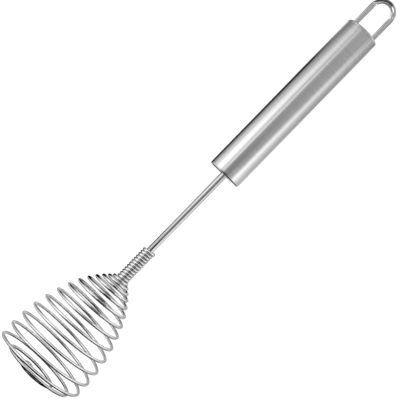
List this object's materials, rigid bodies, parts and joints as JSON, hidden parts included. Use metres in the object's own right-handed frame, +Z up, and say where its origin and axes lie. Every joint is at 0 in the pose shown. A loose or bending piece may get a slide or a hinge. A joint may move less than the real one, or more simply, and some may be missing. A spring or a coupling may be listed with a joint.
{
  "type": "spiral whisk",
  "caption": "Steel spiral whisk: a wire coil opens from a close-wound neck into a pear-shaped head, on a rod in a brushed tube handle with a hanging loop.",
  "frame": {"origin": "middle of the whisk's box in plan, on the worktop that it lies on", "axes": "+X from the coil head towards the hanging loop, along the worktop; +Z up from the worktop; the whisk's own axis is tilted 4.04 degrees about Y, head end up"},
  "size_m": [0.258, 0.05, 0.0502],
  "materials": {
    "brushed_steel": "fine brushing round the handle",
    "polished_steel": "polished stainless steel wire and rod",
    "weld_metal": "plain weld metal"
  },
  "bodies": {
    "root": {"handle_tube": "brushed_steel", "front_cap": "brushed_steel", "rear_cap": "brushed_steel", "rod": "polished_steel", "whisk_coil": "polished_steel", "hanging_loop": "polished_steel", "rod_weld": "weld_metal", "loop_weld_left": "weld_metal", "loop_weld_right": "weld_metal", "coil_weld": "weld_metal"}
  },
  "joints": []
}
